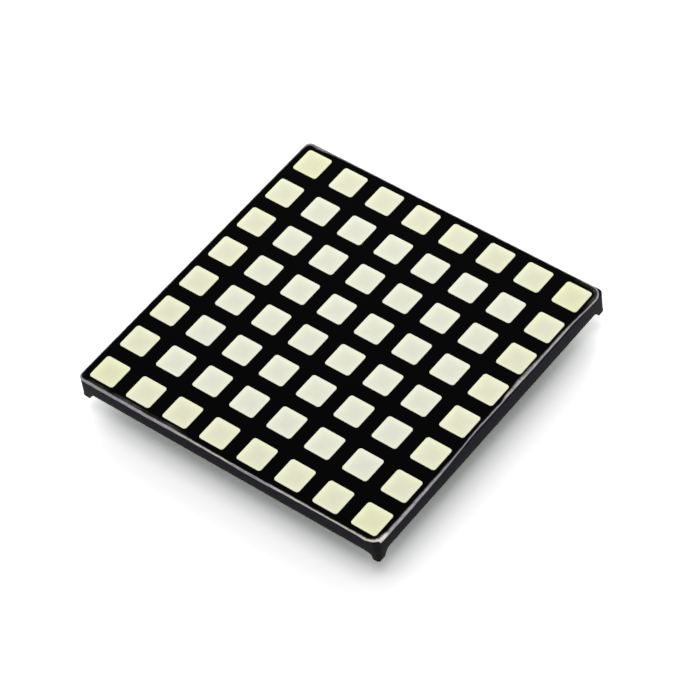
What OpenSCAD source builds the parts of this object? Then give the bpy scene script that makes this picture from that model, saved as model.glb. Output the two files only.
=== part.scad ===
// Slim square LED dot matrix display, eight rows by eight columns of square dots.
// Z is up. The origin is on the surface that the pin tips stand on, under the middle of the body.

/* [Body] */
// Side of the square housing
body_side = 60; // [60:1:72]
// Height of the housing, from the skirt's lower edge to the face
body_h = 2.9; // [2.8:0.1:5]
// Radius of the housing's corners, seen from above
corner_r = 1.1; // [0.6:0.1:1.3]
// Thickness of the side walls around the circuit board
wall_t = 1; // [0.8:0.1:1.2]

/* [Feet] */
// How far the corner feet reach below the skirt
foot_drop = 1.3; // [1.2:0.1:2]
// Width of a foot at its tip
foot_tip_w = 1.95; // [1.8:0.05:2.1]
// Width of a foot where it leaves the skirt
foot_root_w = 2.85; // [2.6:0.05:2.95]

/* [Dots] */
// Dots along each side of the face
dots_per_side = 8; // [4:1:8]
// Side of one square dot
dot_side = 4.85; // [4:0.05:5.4]
// Corner radius of a dot
dot_corner_r = 0.5; // [0.2:0.05:0.6]
// How far each reflector wall slopes inwards on its way down
reflector_slope = 0.8; // [0.4:0.1:1]

/* [Layers] */
// Depth of the resin above the housing's side walls
cap_t = 0.4; // [0.3:0.05:0.5]
// Thickness of the black face film
film_t = 0.1; // [0.05:0.05:0.2]
// Width of resin left bare around the film
film_inset = 0.5; // [0.3:0.05:0.7]
// Radius of the film's corners
film_corner_r = 1.8; // [1.5:0.1:2]
// Radius of the resin's corners
resin_corner_r = 2.2; // [2.1:0.1:2.6]

/* [Circuit board] */
// Thickness of the circuit board
board_t = 1; // [0.8:0.1:1.2]
// Side of one LED die
die_side = 0.3; // [0.2:0.05:0.4]
// Height of one LED die
die_h = 0.2; // [0.1:0.05:0.25]

/* [Pins] */
// Pins in each of the two rows
pins_per_row = 16; // [8:1:18]
// Distance between neighbouring pins of a row
pin_pitch = 2.54; // [2:0.01:2.54]
// Distance between the two rows
row_spacing = 45.72; // [38.1:2.54:50.8]
// Diameter of a pin
pin_d = 0.5; // [0.4:0.05:0.6]
// How far the pins reach below the skirt
pin_reach = 5; // [3:0.1:8]

/* [Hidden] */
$fn = 48;
dot_pitch = body_side / dots_per_side;
die_spacing = 0.6;              // between neighbouring dies of one dot
board_recess = 0.1;             // skirt's lower edge below the board
board_gap = 0.1;                // clearance between the board and the walls
boss_w = foot_root_w + 0.35;    // solid corner over each foot, seen from above
boss_r = 0.6;
prong_w = 1.4;                  // housing corner that stands up outside the resin
prong_drop = 0.05;              // its top below the face
foot_edge = 0.12;               // bevel around a foot's tip
pin_bevel = 0.15;
pin_root_d = pin_d + 0.1;       // thicker root of a pin, in its solder and in the board
hole_d = pin_root_d + 0.2;
solder_h = 0.7;                 // solder below the board
solder_r = 0.85;

skirt_z = pin_reach;
face_z = skirt_z + body_h;
ledge_z = face_z - cap_t;
board_z = skirt_z + board_recess;
floor_z = board_z + board_t;    // top of the board, floor of the reflector wells
foot_z = skirt_z - foot_drop;
root_z = board_z - solder_h;    // where the pins' roots and their solder start
big = 2 * body_side;

pin_total = 2 * pins_per_row;
function pin_name(i) = str("pin_", i < 10 ? "0" : "", i);
// Pins count along the -Y row from -X to +X, then back along the +Y row.
function pin_x(i) = let (k = i <= pins_per_row ? i : pin_total + 1 - i)
    (k - (pins_per_row + 1) / 2) * pin_pitch;
function pin_y(i) = (i <= pins_per_row ? -1 : 1) * row_spacing / 2;

// ---- outlines, seen from above ----

module rounded_square(side, r) {
    square([side - 2 * r, side], center = true);
    square([side, side - 2 * r], center = true);
    at_corners(side / 2 - r) circle(r);
}

module at_corners(d) {
    for (x = [-d, d], y = [-d, d]) translate([x, y]) children();
}

module at_dots() {
    last = (dots_per_side - 1) / 2;
    for (i = [-last : last], j = [-last : last])
        translate([i * dot_pitch, j * dot_pitch]) children();
}

module at_pins() {
    for (i = [1 : pin_total]) translate([pin_x(i), pin_y(i)]) children();
}

// Straight between the raised corners, and rounded inside them.
module resin_outline() {
    difference() {
        square(body_side, center = true);
        at_corners(body_side / 2) square(2 * prong_w, center = true);
    }
    at_corners(body_side / 2 - resin_corner_r) circle(resin_corner_r);
}

// The board's pocket is square, with each corner cut back around a foot's boss.
module board_outline(gap) {
    inner = body_side - 2 * wall_t - 2 * gap;
    difference() {
        square(inner, center = true);
        at_corners(body_side / 2) rounded_square(2 * (boss_w + gap), boss_r);
    }
}

// ---- reflector wells ----

// Section of one row of wells: each narrows by the slope on both sides towards its floor.
module well_section(h) {
    last = (dots_per_side - 1) / 2;
    half_top = dot_side / 2;
    half_floor = half_top - reflector_slope;
    for (i = [-last : last])
        translate([i * dot_pitch, 0])
            polygon([[-half_floor, 0], [half_floor, 0], [half_top, h], [-half_top, h]]);
}

// The wells are where the rows and the columns cross, with rounded corners.
module wells(h) {
    intersection() {
        rotate([90, 0, 0]) linear_extrude(big, center = true) well_section(h);
        rotate([90, 0, 90]) linear_extrude(big, center = true) well_section(h);
        linear_extrude(h) at_dots() rounded_square(dot_side, dot_corner_r);
    }
}

// ---- housing ----

// Side view of a foot at the +X side: flush outside, with a round fillet up to the skirt inside.
module foot_section() {
    outer = body_side / 2;
    tip = outer - foot_tip_w;
    fillet = foot_root_w - foot_tip_w;
    polygon([
        [tip, skirt_z], [tip, foot_z + foot_edge], [tip + foot_edge, foot_z],
        [outer - foot_edge, foot_z], [outer, foot_z + foot_edge], [outer, skirt_z]
    ]);
    translate([tip - fillet, skirt_z - fillet]) difference() {
        square(fillet);
        circle(fillet);
    }
}

module foot() {
    intersection() {
        rotate([90, 0, 0]) linear_extrude(big, center = true) foot_section();
        rotate([90, 0, 90]) linear_extrude(big, center = true) foot_section();
        linear_extrude(face_z) rounded_square(body_side, corner_r);
    }
}

// Black moulding: skirt, reflector plate with its wells, four raised corners and four feet.
module housing() {
    color("#1b1a24") {
        difference() {
            translate([0, 0, skirt_z]) linear_extrude(ledge_z - skirt_z) rounded_square(body_side, corner_r);
            translate([0, 0, skirt_z - 1]) linear_extrude(floor_z - skirt_z + 1) board_outline(0);
            translate([0, 0, floor_z]) wells(ledge_z - floor_z);
        }
        translate([0, 0, ledge_z]) linear_extrude(cap_t - prong_drop) difference() {
            rounded_square(body_side, corner_r);
            resin_outline();
        }
        for (a = [0 : 90 : 270]) rotate(a) foot();
    }
}

// ---- face ----

module film_outline() {
    rounded_square(body_side - 2 * film_inset, film_corner_r);
}

// Black film with a window for each dot.
module face_film() {
    color("#08080b") translate([0, 0, face_z - film_t]) linear_extrude(film_t) difference() {
        film_outline();
        at_dots() rounded_square(dot_side, dot_corner_r);
    }
}

// Pale casting that fills the wells, covers the housing and comes up through the film's windows.
module resin() {
    color("#e6e7d5") difference() {
        union() {
            translate([0, 0, floor_z]) wells(ledge_z - floor_z);
            translate([0, 0, ledge_z]) linear_extrude(cap_t) resin_outline();
        }
        face_film();
        all_dies();
    }
}

// ---- circuit board and what it carries ----

module circuit_board() {
    color("#1f5a35") translate([0, 0, board_z]) linear_extrude(board_t) difference() {
        board_outline(board_gap);
        at_pins() circle(d = hole_d);
    }
}

// One die of one colour at the bottom of each well, side by side along X.
module dies(place) {
    translate([place * die_spacing, 0, floor_z]) linear_extrude(die_h)
        at_dots() square(die_side, center = true);
}

module all_dies() {
    for (place = [-1, 0, 1]) dies(place);
}

module red_dies() {
    color("#b03030") dies(-1);
}

module green_dies() {
    color("#2f9a4a") dies(0);
}

module blue_dies() {
    color("#2f55b0") dies(1);
}

// Solder fills each hole around its pin and stands as a small cone below the board.
module solder_joint() {
    difference() {
        union() {
            translate([0, 0, board_z]) cylinder(h = board_t, d = hole_d);
            translate([0, 0, root_z]) cylinder(h = solder_h, r1 = pin_root_d / 2 + 0.05, r2 = solder_r);
        }
        translate([0, 0, board_z - 1]) cylinder(h = board_t + 2, d = pin_root_d);
    }
}

module solder_joints() {
    color("#b9bcc0") at_pins() solder_joint();
}

module pin(i) {
    color("#c9ccd0") translate([pin_x(i), pin_y(i), 0]) {
        cylinder(h = pin_bevel, d1 = pin_d / 2, d2 = pin_d);
        translate([0, 0, pin_bevel]) cylinder(h = root_z - pin_bevel, d = pin_d);
        translate([0, 0, root_z]) cylinder(h = floor_z - root_z, d = pin_root_d);
    }
}

housing();
resin();
face_film();
circuit_board();
red_dies();
green_dies();
blue_dies();
solder_joints();
for (i = [1 : pin_total])
    pin(i);
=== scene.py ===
import math
import bpy
import bmesh
from mathutils import Matrix, Vector


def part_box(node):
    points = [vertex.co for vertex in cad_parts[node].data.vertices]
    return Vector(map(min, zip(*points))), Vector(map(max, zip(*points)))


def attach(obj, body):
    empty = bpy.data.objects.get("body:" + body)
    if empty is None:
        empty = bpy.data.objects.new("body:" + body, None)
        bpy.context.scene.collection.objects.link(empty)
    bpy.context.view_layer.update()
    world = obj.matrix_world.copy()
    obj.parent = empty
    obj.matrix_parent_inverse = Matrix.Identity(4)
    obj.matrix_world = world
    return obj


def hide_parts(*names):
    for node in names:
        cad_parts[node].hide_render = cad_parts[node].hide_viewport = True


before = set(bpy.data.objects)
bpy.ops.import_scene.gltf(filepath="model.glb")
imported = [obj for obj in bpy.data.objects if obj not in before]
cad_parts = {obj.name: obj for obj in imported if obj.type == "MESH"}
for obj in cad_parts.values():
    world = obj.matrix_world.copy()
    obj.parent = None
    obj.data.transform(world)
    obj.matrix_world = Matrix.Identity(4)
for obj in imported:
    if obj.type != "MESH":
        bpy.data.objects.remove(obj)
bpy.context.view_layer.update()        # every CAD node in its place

mm = 0.001

# levels and widths that the CAD fixes
caseLow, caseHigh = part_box("housing")
castLow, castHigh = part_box("resin")
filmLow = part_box("face_film")[0]
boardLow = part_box("circuit_board")[0]
half = caseHigh.x           # of the square body
faceZ = castHigh.z
floorZ = castLow.z          # floor of the reflector wells
footZ = caseLow.z
print("frame loaded, body", round(2 * half / mm, 2), "mm square")


# camera, floor and light

view = {
    "azimuth": 44.22,       # degrees round from the -Y side
    "elevation": 50.42,
    "roll": 8.61,
    "distance": 560.3,      # mm from the point on the face that the camera looks at
    "aim": (3.18, -1.79),   # mm, that point from the middle of the face
    "lens": 182.2,          # mm, for a sensor 36 mm wide
}


def addCamera():
    az, el, roll = (math.radians(view[k]) for k in ("azimuth", "elevation", "roll"))
    back = Vector((math.sin(az) * math.cos(el), -math.cos(az) * math.cos(el), math.sin(el)))
    right = Vector((math.cos(az), math.sin(az), 0))
    up = back.cross(right)
    right, up = right * math.cos(roll) - up * math.sin(roll), up * math.cos(roll) + right * math.sin(roll)
    aim = Vector((view["aim"][0] * mm, view["aim"][1] * mm, faceZ))
    turn = Matrix((right, up, back)).transposed().to_4x4()
    data = bpy.data.cameras.new("camera")
    data.lens = view["lens"]
    data.sensor_width = 36
    camera = bpy.data.objects.new("camera", data)
    camera.matrix_world = Matrix.Translation(aim + back * view["distance"] * mm) @ turn
    bpy.context.scene.collection.objects.link(camera)
    bpy.context.scene.camera = camera


def linear(hexText):
    # sRGB hex to the linear colour that the shaders take
    parts = [int(hexText[k:k + 2], 16) / 255 for k in (1, 3, 5)]
    return tuple(c / 12.92 if c <= 0.04045 else ((c + 0.055) / 1.055) ** 2.4 for c in parts) + (1.0,)


def addNode(tree, kind, inputs=None, stops=(), **settings):
    # inputs: values, or the sockets linked to them, where a node stands for its own first output;
    # stops: places and hex colours along a colour ramp
    node = tree.nodes.new("ShaderNode" + kind)
    for name, value in settings.items():
        setattr(node, name, value)
    for socket, value in (inputs or {}).items():
        if isinstance(value, bpy.types.Node):
            value = next(out for out in value.outputs if out.enabled)
        if isinstance(value, bpy.types.NodeSocket):
            tree.links.new(value, node.inputs[socket])
        else:
            node.inputs[socket].default_value = value
    for k, (at, hexText) in enumerate(stops):
        element = node.color_ramp.elements[k] if k < 2 else node.color_ramp.elements.new(at)
        element.position = at
        element.color = linear(hexText)
    return node


def startMaterial(name):
    material = bpy.data.materials.new(name)
    material.use_nodes = True
    tree = material.node_tree
    tree.nodes.clear()
    return material, tree


def endMaterial(tree, inputs):
    shader = addNode(tree, "BsdfPrincipled", inputs)
    addNode(tree, "OutputMaterial", {"Surface": shader})


light = {
    "boxes": (
        # name, side in mm, place in mm, watts
        ("topBox", 700, (0, 0, 1000), 2.7),
        ("backBox", 600, (-500, 740, 480), 5.0),
    ),
    "sky": 0.5,
    "floor": 3.0,           # m, half the side of the paper
    "paper": 0.5,           # how far the paper looks whiter than white, so that only shadow shows on it
}


def seenRays(tree):
    # 1 for what the camera, mirrors and glass see, 0 for light on surfaces
    rays = addNode(tree, "LightPath").outputs
    mirror = addNode(tree, "Math", {0: rays["Is Glossy Ray"], 1: rays["Is Transmission Ray"]},
                     operation="MAXIMUM")
    return addNode(tree, "Math", {0: rays["Is Camera Ray"], 1: mirror}, operation="MAXIMUM")


def addStage():
    floorMesh = bpy.data.meshes.new("floor")
    bm = bmesh.new()
    bmesh.ops.create_grid(bm, x_segments=1, y_segments=1, size=light["floor"])
    bm.to_mesh(floorMesh)
    bm.free()
    floor = bpy.data.objects.new("floor", floorMesh)
    bpy.context.scene.collection.objects.link(floor)
    material, tree = startMaterial("white_paper")
    paper = addNode(tree, "BsdfDiffuse", {"Color": (1, 1, 1, 1)})
    extra = addNode(tree, "BsdfDiffuse", {"Color": [light["paper"]] * 3 + [1]})
    lifted = addNode(tree, "AddShader", {0: paper, 1: extra})
    surface = addNode(tree, "MixShader", {0: seenRays(tree), 1: paper, 2: lifted})
    addNode(tree, "OutputMaterial", {"Surface": surface})
    floorMesh.materials.append(material)

    for name, side, spot, watts in light["boxes"]:
        lamp = bpy.data.lights.new(name, "AREA")
        lamp.shape = "SQUARE"
        lamp.size = side * mm
        lamp.energy = watts
        box = bpy.data.objects.new(name, lamp)
        place = Vector(spot) * mm
        box.matrix_world = Matrix.Translation(place) @ place.to_track_quat("Z", "Y").to_matrix().to_4x4()
        bpy.context.scene.collection.objects.link(box)

    world = bpy.data.worlds.new("studio")
    bpy.context.scene.world = world
    world.use_nodes = True
    tree = world.node_tree
    tree.nodes.clear()
    sky = addNode(tree, "Background", {"Color": (1, 1, 1, 1), "Strength": light["sky"]})
    white = addNode(tree, "Background", {"Color": (1, 1, 1, 1), "Strength": 1.0})
    surface = addNode(tree, "MixShader", {0: seenRays(tree), 1: sky, 2: white})
    addNode(tree, "OutputWorld", {"Surface": surface})

    bpy.context.scene.view_settings.view_transform = "Standard"


addCamera()
addStage()
print("camera and stage")


# the rim: where film, casting and black wall end around the body

rim = {
    "bodyR": 1.1,           # mm, corner of the housing
    "castR": 2.2,           # corner of the casting inside it
    "straights": 120,       # steps along each straight side
    "arcs": 18,             # steps round each corner
    "footRoot": 2.85,       # width of a foot at the skirt
    "prong": 0.05,          # top of the black corners below the face
    "leastDown": 0.02,      # and the least that the wall stays below it
    # along the side | film edge in from the outer face | casting edge in from it |
    # top of the black wall below the face | tone of the bare casting, painted shade along the rim | streak
    # beside it on the film, painted reflection with thinned ink
    "sides": (
        # +X
        ((-27.8, 0.80, 0.00, 0.34, 0.86, 0.0), (-26.8, 0.52, 0.00, 0.34, 0.66, 0.0),
         (-22.0, 0.50, 0.00, 0.34, 0.64, 0.0), (-18.0, 0.50, 0.00, 0.20, 0.64, 0.0),
         (-15.0, 0.50, 0.00, 0.10, 0.62, 0.0), (-12.0, 0.50, 0.05, 0.03, 0.60, 0.0),
         (-10.0, 0.50, 0.15, 0.03, 0.58, 0.0), (-7.0, 0.58, 0.32, 0.03, 0.56, 0.0),
         (-4.0, 0.75, 0.45, 0.03, 0.58, 0.0), (0.0, 0.72, 0.37, 0.03, 0.62, 0.0),
         (3.0, 0.65, 0.35, 0.03, 0.58, 0.0), (4.2, 0.90, 0.40, 0.03, 0.68, 0.0),
         (8.0, 1.08, 0.35, 0.03, 0.66, 0.0), (11.0, 1.00, 0.30, 0.03, 0.66, 0.0),
         (14.0, 0.80, 0.35, 0.03, 0.66, 0.0), (19.0, 0.85, 0.33, 0.03, 0.68, 0.0),
         (22.0, 0.70, 0.35, 0.03, 0.62, 0.0), (25.0, 0.45, 0.15, 0.03, 0.64, 0.0),
         (27.8, 0.40, 0.00, 0.03, 0.64, 0.8)),
        # +Y
        ((-27.8, 0.35, 0.00, 0.05, 0.64, 0.6), (-24.0, 0.25, 0.00, 0.20, 0.70, 0.0),
         (0.0, 0.22, 0.00, 0.25, 0.70, 0.0), (20.0, 0.25, 0.00, 0.25, 0.66, 0.0),
         (24.0, 0.35, 0.00, 0.20, 0.60, 0.0), (27.8, 0.70, 0.00, 0.20, 0.52, 0.0)),
        # -X
        ((-27.8, 0.30, 0.00, 0.20, 0.60, 0.0), (-20.0, 0.22, 0.00, 0.25, 0.66, 0.0),
         (4.0, 0.20, 0.00, 0.20, 0.68, 0.0), (27.8, 0.22, 0.00, 0.15, 0.66, 0.0)),
        # -Y
        ((-27.8, 0.45, 0.00, 0.34, 0.58, 0.2), (-25.0, 0.40, 0.00, 0.34, 0.62, 0.6),
         (-23.4, 0.40, 0.00, 0.34, 0.62, 0.0), (-22.2, 0.42, 0.00, 0.34, 0.62, 0.7),
         (-20.0, 0.45, 0.00, 0.34, 0.63, 0.9), (-17.5, 0.42, 0.00, 0.40, 0.60, 0.8),
         (-16.0, 0.40, 0.00, 0.43, 0.60, 0.2), (-13.5, 0.42, 0.00, 0.38, 0.62, 0.3),
         (-11.0, 0.50, 0.00, 0.30, 0.62, 0.7), (-8.8, 0.42, 0.00, 0.20, 0.68, 0.2),
         (-8.0, 0.40, 0.00, 0.17, 0.68, 0.0), (0.0, 0.30, 0.00, 0.17, 0.72, 0.0),
         (3.0, 0.30, 0.00, 0.40, 0.60, 0.0), (8.0, 0.30, 0.00, 0.40, 0.60, 0.0),
         (11.0, 0.40, 0.00, 0.17, 0.72, 0.0), (16.0, 0.40, 0.00, 0.03, 0.73, 0.0),
         (21.0, 0.40, 0.05, 0.03, 0.72, 0.0), (25.0, 0.45, 0.03, 0.03, 0.74, 0.0),
         (27.8, 0.50, 0.00, 0.12, 0.74, 0.0)),
    ),
    # how far film and casting fill each corner, the casting before and after a turning angle in degrees
    "corners": (
        {"film": 0.0, "cast": (0.0, 0.0), "turn": 45},     # +X to +Y
        {"film": 0.8, "cast": (1.0, 1.0), "turn": 45},     # +Y to -X
        {"film": 1.0, "cast": (1.0, 1.0), "turn": 45},     # -X to -Y
        {"film": 0.0, "cast": (0.1, 1.0), "turn": 58},     # -Y to +X
    ),
    "crease": 0.1,          # mm, fine upright crease in the last corner
    "creaseSpread": 6,      # degrees to each side
    "blend": 4,             # degrees on each side of a corner's turning angle
    "bare": 0.05,           # mm, the casting's edge in from the black wall where it doesn't fill a corner
    "wave": (0.025, 0.015),  # mm, wander of the film's edge, in long and in short waves
}


def between(stations, along):
    # straight lines between listed stations
    for a, b in zip(stations, stations[1:]):
        if along <= b[0]:
            part = max(0.0, (along - a[0]) / (b[0] - a[0]))
            return [p + (q - p) * part for p, q in zip(a[1:], b[1:])]
    return list(stations[-1][1:])


def smooth(value, low, high):
    part = min(1.0, max(0.0, (value - low) / (high - low)))
    return part * part * (3 - 2 * part)


def walkRim():
    # places round the outside of the body, anticlockwise from above
    places = []
    bodyHalf = half / mm
    start = bodyHalf - rim["castR"]
    root = bodyHalf - rim["footRoot"]
    count = rim["straights"]
    straight = [-start] + [root * (2 * k / count - 1) for k in range(count + 1)] + [start]
    for side in range(4):
        turn = Matrix.Rotation(side * math.pi / 2, 2)
        for along in straight:
            film, cast, down, paintedShadeTone, streak = between(rim["sides"][side], along)
            longWave, shortWave = rim["wave"]
            wave = longWave * math.sin(1.9 * along + side) + shortWave * math.sin(4.3 * along + 2 * side)
            places.append({
                "at": turn @ Vector((bodyHalf, along)), "out": turn @ Vector((1, 0)),
                "film": film + wave, "cast": cast, "down": max(rim["leastDown"], down - wave),
                "paintedShadeTone": paintedShadeTone, "streak": streak,
            })
        corner = rim["corners"][side]
        first = between(rim["sides"][side], start)
        last = between(rim["sides"][(side + 1) % 4], -start)
        for k in range(1, rim["arcs"]):
            angle = 90 * k / rim["arcs"]
            c, s = math.cos(math.radians(angle)), math.sin(math.radians(angle))
            film, cast, down, paintedShadeTone, streak = [a + (b - a) * angle / 90 for a, b in zip(first, last)]
            # distance from the casting's arc centre out to the housing's own sharper corner
            reach = rim["castR"] / max(c, s)
            apart = rim["castR"] - rim["bodyR"]
            if reach * min(c, s) > apart:
                lean = apart * (c + s)
                reach = lean + math.sqrt(lean ** 2 - 2 * apart ** 2 + rim["bodyR"] ** 2)
            gap = reach - rim["castR"]
            before, after = corner["cast"]
            turned = smooth(angle, corner["turn"] - rim["blend"], corner["turn"] + rim["blend"])
            fill = before + (after - before) * turned
            crease = rim["crease"] if side == 3 and abs(angle - 45) < rim["creaseSpread"] else 0.0
            out = turn @ Vector((c, s))
            places.append({
                "at": turn @ Vector((start, start)) + out * (reach - crease), "out": out,
                "film": film + (1 - corner["film"]) * gap - crease,
                "cast": cast + (1 - fill) * (gap + rim["bare"] - crease),
                "down": rim["prong"] + (down - rim["prong"]) * fill, "paintedShadeTone": paintedShadeTone, "streak": streak,
            })
    return places


places = walkRim()


def drawOn(bm, edges, spot):
    # extrudes a loop of edges; spot gives each new vertex its place
    before = set(bm.verts)
    bmesh.ops.extrude_edge_only(bm, edges=edges)
    fresh = {vert for vert in bm.verts if vert not in before}
    for vert in fresh:
        vert.co = spot(vert)
    return [edge for edge in bm.edges if edge.verts[0] in fresh and edge.verts[1] in fresh]


def startRing(bm, count, spotOf):
    # a closed loop of numbered vertices
    made = bmesh.ops.create_circle(bm, segments=count, radius=half)["verts"]
    number = bm.verts.layers.int["place"]
    for k, vert in enumerate(sorted(made, key=lambda vert: math.atan2(vert.co.y, vert.co.x))):
        vert[number] = k
        vert.co = spotOf(vert)
    return [edge for edge in bm.edges if edge.verts[0] in made and edge.verts[1] in made]


def startPiece():
    bm = bmesh.new()
    for name in ("across", "paintedShadeTone", "inkWearAndReflection"):
        bm.verts.layers.float.new(name)
    bm.verts.layers.int.new("place")
    return bm


def rimSpot(bm, inward, height, across=0.0):
    # mm in from the outer face, and z, for each place round the rim: one number, or a rule for it
    number = bm.verts.layers.int["place"]
    layers = bm.verts.layers.float

    def spot(vert):
        place = places[vert[number]]
        vert[layers["across"]] = across
        vert[layers["paintedShadeTone"]] = place["paintedShadeTone"]
        vert[layers["inkWearAndReflection"]] = place["streak"] * across
        deep = inward(place) if callable(inward) else inward
        z = height(place) if callable(height) else height
        at = place["at"] - place["out"] * deep
        return Vector((at.x * mm, at.y * mm, z))

    return spot


def fillFlat(bm, edges, material=0):
    # the edges go in by number, so that every run fills alike
    bm.edges.index_update()
    ordered = sorted(edges, key=lambda edge: edge.index)
    made = bmesh.ops.triangle_fill(bm, edges=ordered, use_beauty=True, normal=(0, 0, 1))["geom"]
    for face in made:
        if isinstance(face, bmesh.types.BMFace):
            face.material_index = material


def addPiece(name, bm, materials, node):
    bmesh.ops.recalc_face_normals(bm, faces=bm.faces)
    mesh = bpy.data.meshes.new(name)
    bm.to_mesh(mesh)
    openEdges = sum(1 for edge in bm.edges if len(edge.link_faces) != 2)
    bm.free()
    for material in materials:
        mesh.materials.append(material)
    mesh.shade_smooth()
    mesh.set_sharp_from_angle(angle=math.radians(32))
    piece = bpy.data.objects.new(name, mesh)
    bpy.context.scene.collection.objects.link(piece)
    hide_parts(node)
    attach(piece, "root")
    print(name, len(mesh.polygons), "faces,", openEdges, "open edges")


# the grid of dots

dots = {
    "count": 8,
    "side": 4.85,           # mm, one dot
    "cornerR": 0.5,         # radius of its corners, seen from above
    "steps": 6,             # edges to a rounded corner
    "slope": 0.8,           # each reflector wall comes in this far towards its floor
    "proud": 0.06,          # dots above the film
    "edge": 0.04,           # rounding of a dot's upper edge
    "cap": 0.4,             # casting over the top of the reflector plate
}
pitch = 2 * half / dots["count"]
filmZ = faceZ - dots["proud"] * mm
recessZ = filmLow.z
ledgeZ = faceZ - dots["cap"] * mm


def addDots(bm, z, grow=0.0):
    # a rounded square face for each dot, grow mm larger all round
    before = set(bm.faces)
    size = (dots["side"] / 2 + grow) * mm
    corners = []
    for i in range(dots["count"]):
        for j in range(dots["count"]):
            centre = Vector(((i + 0.5) * pitch - half, (j + 0.5) * pitch - half, z))
            corners += bmesh.ops.create_grid(bm, x_segments=1, y_segments=1, size=size,
                                             matrix=Matrix.Translation(centre))["verts"]
    bmesh.ops.bevel(bm, geom=corners, offset=(dots["cornerR"] + grow) * mm, affect="VERTICES",
                    segments=dots["steps"], profile=0.5, material=-1)
    return [face for face in bm.faces if face not in before]


def edgesOf(faces):
    return list({edge for face in faces for edge in face.edges})


def sinkDots(bm, faces, depth, narrow=0.0):
    # moves each dot's face on, narrower by so many mm all round
    made = bmesh.ops.extrude_discrete_faces(bm, faces=faces)["faces"]
    factor = 1 - 2 * narrow / dots["side"]
    for face in made:
        centre = face.calc_center_bounds()
        bmesh.ops.scale(bm, vec=(factor, factor, 1), space=Matrix.Translation(-centre), verts=face.verts)
        bmesh.ops.translate(bm, vec=(0, 0, depth), verts=face.verts)
    return made


# housing: a black moulding with its reflector plate, skirt and four feet

case = {
    "skirt": 0.1,           # mm, the skirt's lower edge below the board
    "wall": 1.0,            # thickness of the side walls around the board
    "boss": 3.2,            # solid corner over each foot
    "bossR": 0.6,
    "bossDrop": 0.15,       # its top below the reflector plate's underside
    "pocketSteps": 36,      # round the board's pocket, nine to each corner
    "lip": 0.15,            # top of the wall, under the casting's edge
    # sections of a foot, downwards: mm above its tip | width along X | along Y | radius of its outer corner
    "foot": (
        (1.07, 2.62, 2.62, 1.1), (0.85, 2.41, 2.41, 1.1), (0.66, 2.21, 2.21, 1.1), (0.52, 2.07, 2.07, 1.1),
        (0.43, 1.98, 1.98, 1.1), (0.35, 1.95, 1.95, 1.1), (0.14, 1.93, 1.93, 1.08), (0.04, 1.86, 1.86, 1.02),
        (0.0, 1.75, 1.75, 0.95)),
    # the front one is slimmer, with a sharper outer corner
    "frontFoot": (
        (1.24, 2.20, 2.72, 1.1), (1.16, 1.86, 2.50, 1.1), (1.05, 1.62, 2.29, 1.0), (0.85, 1.42, 2.04, 0.9),
        (0.60, 1.32, 1.88, 0.75), (0.35, 1.27, 1.74, 0.6), (0.15, 1.24, 1.60, 0.5), (0.05, 1.20, 1.48, 0.45),
        (0.0, 1.14, 1.36, 0.42)),
}
skirtZ = boardLow.z - case["skirt"] * mm


def pocketSpot(bm, stepped, z):
    # the board's pocket is a square; stepped, its corners go round the foot bosses
    number = bm.verts.layers.int["place"]
    side = half / mm - case["wall"]
    boss = half / mm - case["boss"]
    middle = boss + case["bossR"]
    quarter = [(side, boss)]
    for k in range(7):
        angle = math.radians(270 - 15 * k)
        if stepped:
            arc = Vector((math.cos(angle), math.sin(angle))) * case["bossR"]
            quarter.append((middle + arc.x, middle + arc.y))
        else:
            along = (side - boss) * (k + 1) / 4
            quarter.append((min(side, 2 * side - boss - along), min(side, boss + along)))
    quarter.append((boss, side))

    def spot(vert):
        turn, k = divmod(vert[number], len(quarter))
        x, y = Matrix.Rotation(math.pi / 2 * turn, 2) @ Vector(quarter[k])
        return Vector((x * mm, y * mm, z))

    return spot


def footSpot(bm, wideX, wideY, z, cornerR):
    # a foot's section at one height: its widths along X and Y, and the radius of its outer corner
    number = bm.verts.layers.int["place"]
    arc = half / mm - rim["bodyR"]
    rootIn = half / mm - rim["footRoot"]

    def pull(size, wide):
        if size < arc:
            size = arc - (arc - size) * (wide - rim["bodyR"]) / (rim["footRoot"] - rim["bodyR"])
        return size

    def spot(vert):
        sx, sy = math.copysign(1, vert.co.x), math.copysign(1, vert.co.y)
        if vert[number] < 0:
            x, y = rootIn, rootIn
        else:
            x, y = (abs(value) for value in places[vert[number]]["at"])
        if x > arc and y > arc:
            tighter = cornerR / rim["bodyR"]
            x, y = (half / mm - cornerR + (value - arc) * tighter for value in (x, y))
        x, y = pull(x, wideX), pull(y, wideY)
        return Vector((sx * x * mm, sy * y * mm, z))

    return spot


def addFoot(bm, sx, sy, skirt):
    # the corner of the skirt's loop, closed inside, is drawn down through the foot's sections
    root = half - rim["footRoot"] * mm
    onSkirt = {vert for edge in skirt for vert in edge.verts}
    near = {vert for vert in onSkirt if min(sx * vert.co.x, sy * vert.co.y) > root - 1e-6}
    mine = [edge for edge in skirt if set(edge.verts) <= near]
    uses = [vert for edge in mine for vert in edge.verts]
    ends = [vert for vert in uses if uses.count(vert) == 1]
    inner = bm.verts.new((sx * root, sy * root, skirtZ))
    inner[bm.verts.layers.int["place"]] = -1
    closing = [bm.edges.new((end, inner)) for end in ends]
    loop = mine + closing
    for high, wideX, wideY, cornerR in case["frontFoot" if (sx, sy) == (1, -1) else "foot"]:
        loop = drawOn(bm, loop, footSpot(bm, wideX, wideY, footZ + high * mm, cornerR))
    fillFlat(bm, loop)
    return mine, closing


def wallTop(place):
    return faceZ - place["down"] * mm


def lip(place):
    # inner edge of the wall's top
    return place["cast"] + case["lip"]


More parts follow.
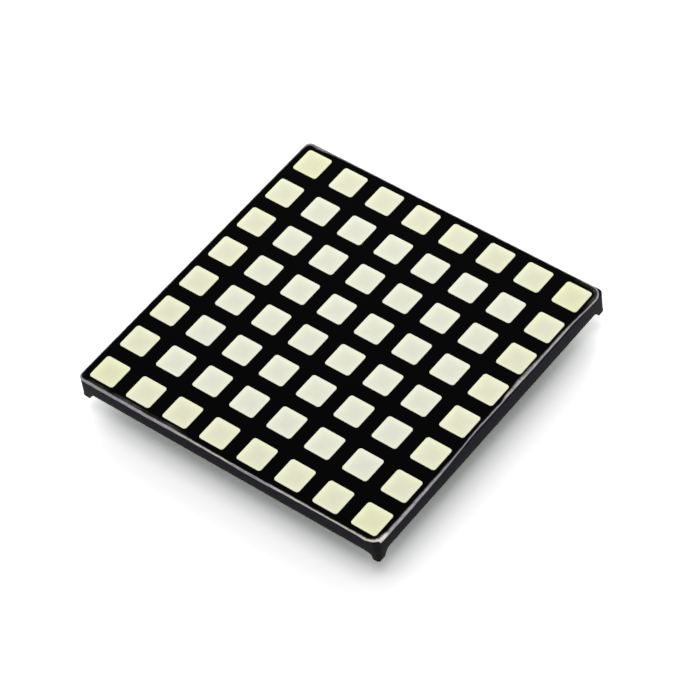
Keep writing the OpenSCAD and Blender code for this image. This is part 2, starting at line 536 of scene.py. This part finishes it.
def addHousing(material):
    bm = startPiece()
    skirt = startRing(bm, len(places), rimSpot(bm, 0.0, skirtZ))
    ring = drawOn(bm, skirt, rimSpot(bm, 0.0, wallTop))
    ring = drawOn(bm, ring, rimSpot(bm, lip, wallTop))
    ring = drawOn(bm, ring, rimSpot(bm, lip, ledgeZ))
    wells = addDots(bm, ledgeZ)
    tops = edgesOf(wells)
    floors = sinkDots(bm, wells, floorZ - ledgeZ, dots["slope"])
    ceiling = edgesOf(floors)
    bmesh.ops.delete(bm, geom=floors, context="FACES_ONLY")
    fillFlat(bm, ring + tops)
    bossTop = floorZ - case["bossDrop"] * mm
    pocket = startRing(bm, case["pocketSteps"], pocketSpot(bm, True, skirtZ))
    ring = drawOn(bm, pocket, pocketSpot(bm, True, bossTop))
    ring = drawOn(bm, ring, pocketSpot(bm, False, bossTop))
    ring = drawOn(bm, ring, pocketSpot(bm, False, floorZ))
    fillFlat(bm, ring + ceiling)
    outside = set(skirt)
    for sx, sy in ((1, 1), (-1, 1), (-1, -1), (1, -1)):
        mine, closing = addFoot(bm, sx, sy, skirt)
        outside -= set(mine)
        outside |= set(closing)
    fillFlat(bm, list(outside) + pocket)
    addPiece("housing_shell", bm, [material], "housing")


# casting: pale epoxy that fills the wells and comes up round the film

casting = {
    "edge": 0.06,           # mm, rounding where its side meets its top
    "filmGap": 0.02,        # between its top and the film's edge
}


def shoulder(place):
    # where the casting's side starts to round into its top
    return faceZ - min(casting["edge"], 0.8 * place["down"]) * mm


def castIn(more):
    return lambda place: place["cast"] + more


def addCasting(padMaterial, rimMaterial):
    bm = startPiece()
    low = startRing(bm, len(places), rimSpot(bm, lip, ledgeZ, 1.0))
    ring = drawOn(bm, low, rimSpot(bm, lip, wallTop, 1.0))
    ring = drawOn(bm, ring, rimSpot(bm, castIn(0.0), wallTop, 1.0))
    ring = drawOn(bm, ring, rimSpot(bm, castIn(0.0), shoulder, 1.0))
    ring = drawOn(bm, ring, rimSpot(bm, castIn(casting["edge"]), faceZ, 0.8))
    ring = drawOn(bm, ring, rimSpot(bm, filmIn(-casting["filmGap"]), faceZ))
    ring = drawOn(bm, ring, rimSpot(bm, filmIn(0.0), recessZ))
    for face in bm.faces:
        face.material_index = 1
    pads = addDots(bm, recessZ)
    fillFlat(bm, ring + edgesOf(pads), 1)
    pads = sinkDots(bm, pads, faceZ - dots["edge"] * mm - recessZ)
    sinkDots(bm, pads, dots["edge"] * mm, dots["edge"])
    wells = addDots(bm, ledgeZ)
    fillFlat(bm, low + edgesOf(wells), 1)
    sinkDots(bm, wells, floorZ - ledgeZ, dots["slope"])
    addPiece("casting", bm, [padMaterial, rimMaterial], "resin")


# film: black, with a window for each dot

film = {
    "edge": 0.03,           # mm, rounding of its outer edge
    "window": 0.01,         # gap around each dot
    "most": 1.2,            # its rim's furthest in from the outer face
    "wearAndReflectionStart": 0.25,      # mm in from its edge, where streaks of thin ink and painted reflection show
    "wearAndReflectionEnd": 0.55,
}


def filmIn(more):
    # never further in than clear of the dots
    return lambda place: min(place["film"] + more, film["most"])


def addFilm(material):
    bm = startPiece()
    low = startRing(bm, len(places), rimSpot(bm, filmIn(0.0), recessZ, 0.3))
    ring = drawOn(bm, low, rimSpot(bm, filmIn(0.0), filmZ - film["edge"] * mm, 0.3))
    ring = drawOn(bm, ring, rimSpot(bm, filmIn(film["edge"]), filmZ, 0.3))
    ring = drawOn(bm, ring, rimSpot(bm, filmIn(film["wearAndReflectionStart"]), filmZ, 1.0))
    ring = drawOn(bm, ring, rimSpot(bm, filmIn(film["wearAndReflectionEnd"]), filmZ, 0.0))
    windows = addDots(bm, filmZ, film["window"])
    tops = edgesOf(windows)
    bottoms = sinkDots(bm, windows, recessZ - filmZ)
    under = edgesOf(bottoms)
    bmesh.ops.delete(bm, geom=bottoms, context="FACES_ONLY")
    fillFlat(bm, ring + tops)
    fillFlat(bm, low + under)
    addPiece("face_sheet", bm, [material], "face_film")


# materials: each is named for what the part is made of

def dotPlan(tree):
    # where a point lies in its own dot, in mm from the dot's middle, and a number for each dot
    place = addNode(tree, "TexCoord").outputs["Object"]
    middle = dots["count"] / 2
    grid = addNode(tree, "Mapping", {"Vector": place, "Location": (middle, middle, 0),
                                     "Scale": (1 / pitch, 1 / pitch, 0)})
    cell = addNode(tree, "VectorMath", {0: grid}, operation="FLOOR")
    inside = addNode(tree, "VectorMath", {0: grid, 1: cell}, operation="SUBTRACT")
    middled = addNode(tree, "VectorMath", {0: inside, 1: (0.5, 0.5, 0)}, operation="SUBTRACT")
    local = addNode(tree, "VectorMath", {0: middled, "Scale": pitch / mm}, operation="SCALE")
    chance = addNode(tree, "TexWhiteNoise", {"Vector": cell}, noise_dimensions="3D")
    return place, local, chance


epoxy = {
    "centre": "#e3e3d1",    # milky epoxy, greyest over the dies, brighter where the reflector wall is near
    "middle": "#e8e9d5",
    "border": "#f3f5d9",
    "lean": (0.25, -0.2),   # mm, how far the grey patch lies off the middle of its dot
    "outer": "#fffff3",     # tints the outermost dots yellower, twice in the corners
    "outerFrom": 22.5,      # mm from the middle of the face
    "cloud": 1.6,           # mm, width of one blotch
    "cloudy": 0.010,        # how much blotches and whole dots vary in brightness
    "varied": 0.008,
    "ripple": 0.9,          # mm, width of a shallow wave in the surface
    "rippleDepth": 0.01,
    "glow": 0.4,            # mm that light travels inside
    "rough": 0.42,
}


def castEpoxy():
    # milky diffusing epoxy, cast and cured: soft satin, faintly cloudy, brighter round each dot's border
    material, tree = startMaterial("milky_cast_epoxy")
    place, local, chance = dotPlan(tree)
    leant = addNode(tree, "VectorMath", {0: local, 1: (*epoxy["lean"], 0)}, operation="SUBTRACT")
    away = addNode(tree, "VectorMath", {0: leant}, operation="ABSOLUTE")
    parts = addNode(tree, "SeparateXYZ", {0: away}).outputs
    reach = addNode(tree, "Math", {0: parts["X"], 1: parts["Y"], 2: 0.6}, operation="SMOOTH_MAX")
    border = addNode(tree, "MapRange", {"Value": reach, "From Max": 2.5})
    colour = addNode(tree, "ValToRGB", {"Fac": border}, stops=(
        (0.30, epoxy["centre"]), (0.62, epoxy["middle"]), (0.92, epoxy["border"])))
    offMiddle = addNode(tree, "VectorMath", {0: place}, operation="ABSOLUTE")
    whole = addNode(tree, "SeparateXYZ", {0: offMiddle}).outputs
    for axis in ("X", "Y"):
        last = addNode(tree, "MapRange", {"Value": whole[axis], "From Min": epoxy["outerFrom"] * mm,
                                          "From Max": (epoxy["outerFrom"] + 1) * mm},
                       interpolation_type="SMOOTHSTEP")
        colour = addNode(tree, "Mix", {0: last, 6: colour, 7: linear(epoxy["outer"])},
                         data_type="RGBA", blend_type="MULTIPLY")
    cloud = addNode(tree, "TexNoise", {"Vector": place, "Scale": 1 / (epoxy["cloud"] * mm),
                                       "Roughness": 0.55})
    cloudy = addNode(tree, "MapRange", {"Value": cloud, "From Min": 0.3, "From Max": 0.7,
                                        "To Min": 1 - epoxy["cloudy"], "To Max": 1 + epoxy["cloudy"]},
                     interpolation_type="SMOOTHSTEP")
    varied = addNode(tree, "MapRange", {"Value": chance, "To Min": -epoxy["varied"],
                                        "To Max": epoxy["varied"]}, interpolation_type="SMOOTHSTEP")
    value = addNode(tree, "Math", {0: cloudy, 1: varied}, operation="ADD")
    tinted = addNode(tree, "HueSaturation", {"Color": colour, "Value": value})
    ripple = addNode(tree, "TexNoise", {"Vector": place, "Scale": 1 / (epoxy["ripple"] * mm), "Detail": 1.0,
                                        "Roughness": 0.55})
    normal = addNode(tree, "Bump", {"Height": ripple, "Distance": epoxy["rippleDepth"] * mm})
    endMaterial(tree, {
        "Base Color": tinted, "Roughness": epoxy["rough"], "Specular IOR Level": 0.3, "Normal": normal,
        "Subsurface Weight": 0.15, "Subsurface Radius": (1, 1, 0.8), "Subsurface Scale": epoxy["glow"] * mm})
    return material


epoxyEdge = {
    # the tones run from grey up to the epoxy's own pale colour: painted shade for how light falls along the
    # rim
    "paintedShadeTones": ((0.50, "#807e80"), (0.62, "#96949b"), (0.74, "#c8c3b4"), (0.86, "#ece9dc")),
    "inner": "#33332a",     # thin smear of film ink over the casting
    "mottle": 1.2,          # mm
    "mottleDepth": 0.02,
    "smear": 0.5,           # mm, width of a ragged spot in the smear
    "rough": 0.45,
}


def trimmedEpoxyPaintedShade():
    # the same epoxy where it was trimmed round the face: dull, smeared dark along the film, and painted
    # greyer station by station as painted shade along the rim
    material, tree = startMaterial("trimmed_epoxy_edge_painted_shade")
    place = addNode(tree, "TexCoord").outputs["Object"]
    paintedShadeTone = addNode(tree, "Attribute", attribute_name="paintedShadeTone").outputs["Fac"]
    across = addNode(tree, "Attribute", attribute_name="across").outputs["Fac"]
    mottle = addNode(tree, "TexNoise", {"Vector": place, "Scale": 1 / (epoxyEdge["mottle"] * mm),
                                        "Detail": 3.0, "Roughness": 0.55})
    mottled = addNode(tree, "MapRange", {"Value": mottle, "From Min": 0.3, "From Max": 0.7, "To Min": -0.04,
                                         "To Max": 0.04}, interpolation_type="SMOOTHSTEP")
    uneven = addNode(tree, "Math", {0: paintedShadeTone, 1: mottled}, operation="ADD")
    # painted shade: each rim tone picks a grey that stands in for the light and shade on the bare casting
    bare = addNode(tree, "ValToRGB", {"Fac": uneven}, stops=epoxyEdge["paintedShadeTones"])
    spots = addNode(tree, "TexNoise", {"Vector": place, "Scale": 1 / (epoxyEdge["smear"] * mm),
                                       "Roughness": 0.55})
    ragged = addNode(tree, "MapRange", {"Value": spots, "From Min": 0.3, "From Max": 0.7, "To Min": -0.1,
                                        "To Max": 0.1}, interpolation_type="SMOOTHSTEP")
    smear = addNode(tree, "Math", {0: across, 1: ragged}, operation="ADD")
    clean = addNode(tree, "MapRange", {"Value": smear, "From Min": 0.05, "From Max": 0.6},
                    interpolation_type="SMOOTHSTEP")
    colour = addNode(tree, "Mix", {0: clean, 6: linear(epoxyEdge["inner"]), 7: bare}, data_type="RGBA")
    normal = addNode(tree, "Bump", {"Height": mottle, "Distance": epoxyEdge["mottleDepth"] * mm})
    endMaterial(tree, {"Base Color": colour, "Roughness": epoxyEdge["rough"], "Specular IOR Level": 0.3,
                       "Normal": normal})
    return material


ink = {
    "black": "#030304",
    "thinInkAndReflection": "#504f4b",      # ink thinned along the trimmed edge, with painted reflection of the floor on it
    "streak": 0.8,          # mm
    "grain": 0.3,           # mm, drawn coarser than the real film's, to show
    "grainDepth": 0.004,
    "rough": 0.45,
}


def blackFilm():
    # matt black printed polycarbonate film: very dark, faint fine grain, ink thinned in streaks at the rim,
    # where the grey also stands in for a painted reflection of the floor on the film's edge
    material, tree = startMaterial("black_polycarbonate_film")
    place = addNode(tree, "TexCoord").outputs["Object"]
    inkWearAndReflection = addNode(tree, "Attribute", attribute_name="inkWearAndReflection").outputs["Fac"]
    streak = addNode(tree, "TexNoise", {"Vector": place, "Scale": 1 / (ink["streak"] * mm), "Detail": 3.0,
                                        "Roughness": 0.55})
    thin = addNode(tree, "MapRange", {"Value": streak, "From Min": 0.3, "From Max": 0.65, "To Min": 0.4},
                   interpolation_type="SMOOTHSTEP")
    # painted reflection: grey streaks at the rim stand in for the floor reflected on the film's edge,
    # together with thinned ink
    thinInkAndReflection = addNode(tree, "Math", {0: inkWearAndReflection, 1: thin}, operation="MULTIPLY")
    colour = addNode(tree, "Mix", {0: thinInkAndReflection, 6: linear(ink["black"]), 7: linear(ink["thinInkAndReflection"])},
                     data_type="RGBA")
    grain = addNode(tree, "TexNoise", {"Vector": place, "Scale": 1 / (ink["grain"] * mm), "Detail": 3.0,
                                       "Roughness": 0.55})
    rough = addNode(tree, "MapRange", {"Value": grain, "From Min": 0.3, "From Max": 0.7,
                                       "To Min": ink["rough"] - 0.05, "To Max": ink["rough"] + 0.05},
                    interpolation_type="SMOOTHSTEP")
    normal = addNode(tree, "Bump", {"Height": grain, "Distance": ink["grainDepth"] * mm})
    endMaterial(tree, {"Base Color": colour, "Roughness": rough, "Specular IOR Level": 0.006,
                       "Normal": normal})
    return material


shell = {
    "upper": "#11101c",     # black ABS; its faint violet over the upper wall is painted sheen
    "lower": "#1f1f15",     # warmer along the lower edge
    "warmTo": 1.3,          # mm above the skirt's edge
    "drag": (0.5, 0.5, 3.0),  # mm, upright marks left by the mould
    "grain": 0.35,          # mm, spark-eroded mould grain
    "grainDepth": 0.012,
    "rough": 0.5,
}


def mouldedAbs():
    # black ABS, injection moulded: soft low sheen, fine eroded grain, faint upright drag marks
    material, tree = startMaterial("moulded_black_abs")
    place = addNode(tree, "TexCoord").outputs["Object"]
    height = addNode(tree, "SeparateXYZ", {0: place}).outputs["Z"]
    up = addNode(tree, "MapRange", {"Value": height, "From Min": skirtZ,
                                    "From Max": skirtZ + shell["warmTo"] * mm},
                 interpolation_type="SMOOTHSTEP")
    colour = addNode(tree, "Mix", {0: up, 6: linear(shell["lower"]), 7: linear(shell["upper"])},
                     data_type="RGBA")
    drawn = addNode(tree, "Mapping", {"Vector": place, "Scale": [1 / (size * mm) for size in shell["drag"]]})
    drag = addNode(tree, "TexNoise", {"Vector": drawn, "Scale": 1.0, "Roughness": 0.55})
    marks = addNode(tree, "MapRange", {"Value": drag, "From Min": 0.3, "From Max": 0.7, "To Min": 0.8,
                                       "To Max": 1.2}, interpolation_type="SMOOTHSTEP")
    tinted = addNode(tree, "HueSaturation", {"Color": colour, "Value": marks})
    grain = addNode(tree, "TexNoise", {"Vector": place, "Scale": 1 / (shell["grain"] * mm), "Detail": 3.0,
                                       "Roughness": 0.55})
    rough = addNode(tree, "MapRange", {"Value": grain, "From Min": 0.3, "From Max": 0.7,
                                       "To Min": shell["rough"] - 0.06, "To Max": shell["rough"] + 0.06},
                    interpolation_type="SMOOTHSTEP")
    normal = addNode(tree, "Bump", {"Height": grain, "Distance": shell["grainDepth"] * mm})
    endMaterial(tree, {"Base Color": tinted, "Roughness": rough, "Specular IOR Level": 0.03,
                       "Normal": normal})
    return material


laminate = {
    "mask": "#164529",
    "track": "#21603a",     # copper tracks under the green mask
    "trackPitch": 1.27,     # mm
    "trackWidth": 0.3,
    "trackDepth": 0.03,
    "bend": 4.0,            # mm along Y from one bend of the tracks to the next
    "band": 8.0,            # mm, a band of tracks, each set a little further along X
    "bandShift": 0.4,
    "gap": 6.0,             # mm, patches without tracks
    "weave": 0.25,          # mm, glass cloth showing through as a change of gloss
}


def greenLaminate():
    # glass epoxy laminate under green solder mask: glossy, with slightly raised paler tracks
    material, tree = startMaterial("green_masked_laminate")
    place = addNode(tree, "TexCoord").outputs["Object"]
    parts = addNode(tree, "SeparateXYZ", {0: place}).outputs
    bands = addNode(tree, "MapRange", {"Value": parts["Y"], "From Min": -2.5 * laminate["band"] * mm,
                                       "From Max": 2.5 * laminate["band"] * mm, "To Max": 5.0})
    band = addNode(tree, "Math", {0: bands}, operation="FLOOR")
    shift = addNode(tree, "Math", {0: band, 1: laminate["bandShift"] * mm}, operation="MULTIPLY")
    zigzag = addNode(tree, "Math", {0: parts["Y"], 1: laminate["bend"] * mm}, operation="PINGPONG")
    swing = addNode(tree, "Math", {0: zigzag, 1: 0.5}, operation="MULTIPLY")
    moved = addNode(tree, "Math", {0: swing, 1: shift}, operation="ADD")
    spread = addNode(tree, "Math", {0: parts["X"], 1: moved}, operation="ADD")
    line = addNode(tree, "Math", {0: spread, 1: laminate["trackPitch"] / 2 * mm}, operation="PINGPONG")
    solid = addNode(tree, "MapRange", {"Value": line, "From Min": 0.4 * laminate["trackWidth"] * mm,
                                       "From Max": 0.6 * laminate["trackWidth"] * mm, "To Min": 1.0,
                                       "To Max": 0.0}, interpolation_type="SMOOTHSTEP")
    patches = addNode(tree, "TexNoise", {"Vector": place, "Scale": 1 / (laminate["gap"] * mm), "Detail": 0.0,
                                         "Roughness": 0.55})
    kept = addNode(tree, "MapRange", {"Value": patches, "From Min": 0.42, "From Max": 0.46},
                   interpolation_type="SMOOTHSTEP")
    track = addNode(tree, "Math", {0: solid, 1: kept}, operation="MULTIPLY")
    colour = addNode(tree, "Mix", {0: track, 6: linear(laminate["mask"]), 7: linear(laminate["track"])},
                     data_type="RGBA")
    weave = addNode(tree, "TexNoise", {"Vector": place, "Scale": 1 / (laminate["weave"] * mm),
                                       "Roughness": 0.55})
    rough = addNode(tree, "MapRange", {"Value": weave, "From Min": 0.3, "From Max": 0.7, "To Min": 0.24,
                                       "To Max": 0.34}, interpolation_type="SMOOTHSTEP")
    normal = addNode(tree, "Bump", {"Height": track, "Distance": laminate["trackDepth"] * mm})
    endMaterial(tree, {"Base Color": colour, "Roughness": rough, "Normal": normal})
    return material


metals = {
    "solder": {"dull": "#9fa2a6", "bright": "#c6c9cc", "dimple": 0.4, "depth": 0.03},
    "wire": {"dull": "#b9b8b2", "bright": "#d3d4d5", "streak": (0.08, 0.08, 1.6), "depth": 0.004},
}


def solder():
    # tin solder, wave soldered: bright but dimpled metal with duller patches
    tin = metals["solder"]
    material, tree = startMaterial("tin_solder")
    place = addNode(tree, "TexCoord").outputs["Object"]
    dimple = addNode(tree, "TexNoise", {"Vector": place, "Scale": 1 / (tin["dimple"] * mm),
                                        "Roughness": 0.55})
    patch = addNode(tree, "MapRange", {"Value": dimple, "From Min": 0.35, "From Max": 0.65},
                    interpolation_type="SMOOTHSTEP")
    colour = addNode(tree, "Mix", {0: patch, 6: linear(tin["dull"]), 7: linear(tin["bright"])},
                     data_type="RGBA")
    rough = addNode(tree, "MapRange", {"Value": dimple, "From Min": 0.3, "From Max": 0.7, "To Min": 0.45,
                                       "To Max": 0.28}, interpolation_type="SMOOTHSTEP")
    normal = addNode(tree, "Bump", {"Height": dimple, "Distance": tin["depth"] * mm})
    endMaterial(tree, {"Base Color": colour, "Metallic": 1.0, "Roughness": rough, "Normal": normal})
    return material


def tinnedWire():
    # tinned brass wire, drawn: fine streaks along its length
    tin = metals["wire"]
    material, tree = startMaterial("tinned_brass_wire")
    place = addNode(tree, "TexCoord").outputs["Object"]
    drawn = addNode(tree, "Mapping", {"Vector": place, "Scale": [1 / (size * mm) for size in tin["streak"]]})
    streak = addNode(tree, "TexNoise", {"Vector": drawn, "Scale": 1.0, "Detail": 3.0, "Roughness": 0.55})
    patch = addNode(tree, "MapRange", {"Value": streak, "From Min": 0.35, "From Max": 0.65},
                    interpolation_type="SMOOTHSTEP")
    colour = addNode(tree, "Mix", {0: patch, 6: linear(tin["dull"]), 7: linear(tin["bright"])},
                     data_type="RGBA")
    rough = addNode(tree, "MapRange", {"Value": streak, "From Min": 0.3, "From Max": 0.7, "To Min": 0.22,
                                       "To Max": 0.36}, interpolation_type="SMOOTHSTEP")
    normal = addNode(tree, "Bump", {"Height": streak, "Distance": tin["depth"] * mm})
    endMaterial(tree, {"Base Color": colour, "Metallic": 1.0, "Roughness": rough, "Normal": normal})
    return material


dies = {
    "red_dies": "#a03028",
    "green_dies": "#2f8f52",
    "blue_dies": "#3558a8",
    "pad": "#c9a860",       # dull gold bonding pads
    "speck": 0.06,          # mm
}


def ledDie(node):
    # sawn LED die: glassy tinted crystal, specked with dull gold
    material, tree = startMaterial(node.replace("_dies", "_led_die"))
    place = addNode(tree, "TexCoord").outputs["Object"]
    speck = addNode(tree, "TexNoise", {"Vector": place, "Scale": 1 / (dies["speck"] * mm), "Detail": 1.0,
                                       "Roughness": 0.55})
    gold = addNode(tree, "MapRange", {"Value": speck, "From Min": 0.5, "From Max": 0.6},
                   interpolation_type="SMOOTHSTEP")
    colour = addNode(tree, "Mix", {0: gold, 6: linear(dies[node]), 7: linear(dies["pad"])},
                     data_type="RGBA")
    rough = addNode(tree, "MapRange", {"Value": speck, "From Min": 0.3, "From Max": 0.7, "To Min": 0.15,
                                       "To Max": 0.35}, interpolation_type="SMOOTHSTEP")
    endMaterial(tree, {"Base Color": colour, "Roughness": rough})
    return material


def dress(node, material):
    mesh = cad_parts[node].data
    mesh.materials.clear()
    mesh.materials.append(material)


addHousing(mouldedAbs())
addCasting(castEpoxy(), trimmedEpoxyPaintedShade())
addFilm(blackFilm())
dress("circuit_board", greenLaminate())
dress("solder_joints", solder())
for name in ("red_dies", "green_dies", "blue_dies"):
    dress(name, ledDie(name))
wire = tinnedWire()
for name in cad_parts:
    if name.startswith("pin_"):
        dress(name, wire)
print("materials set")

bpy.context.view_layer.update()
